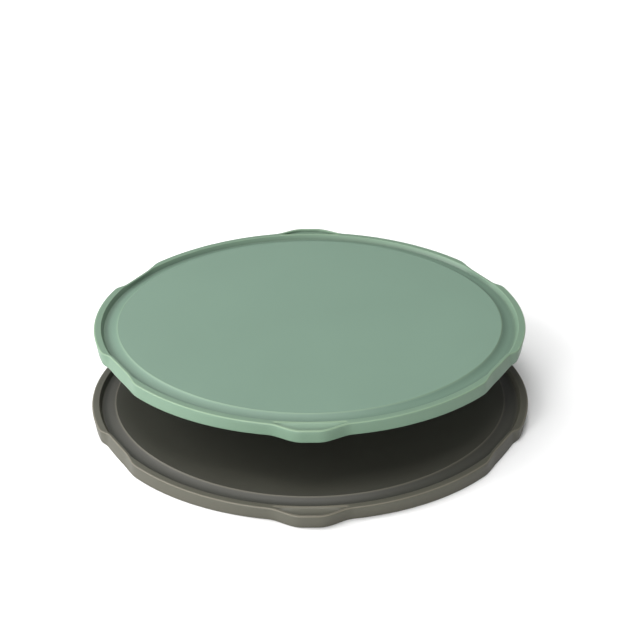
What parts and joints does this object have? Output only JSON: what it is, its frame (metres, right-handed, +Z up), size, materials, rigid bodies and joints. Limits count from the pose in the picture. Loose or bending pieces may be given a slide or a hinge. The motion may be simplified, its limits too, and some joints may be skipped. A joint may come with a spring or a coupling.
{
  "type": "silicone bowl lids",
  "caption": "Flat round silicone bowl lids with a raised disc, a shallow trough, a notched rim and pocketed pull tabs, one lifted above the other.",
  "frame": {"origin": "midway between the two lids' centres in plan, on the surface that the lower lid lies on", "axes": "+Z up, +Y towards the back, where the upper lid is set, along the line through the pull tabs, +X to the right"},
  "size_m": [0.17, 0.1978, 0.0287],
  "materials": {
    "grey_silicone": "satin moulded silicone, dark warm grey",
    "sage_silicone": "satin moulded silicone, sage green"
  },
  "bodies": {
    "lower": {"lower_lid": "grey_silicone"},
    "upper": {"upper_lid": "sage_silicone"}
  },
  "joints": [
    {"name": "lid_lift", "type": "slide", "parent": "lower", "child": "upper", "axis": [0, 0, 1], "range_m": [-0.018, 0.06]}
  ]
}
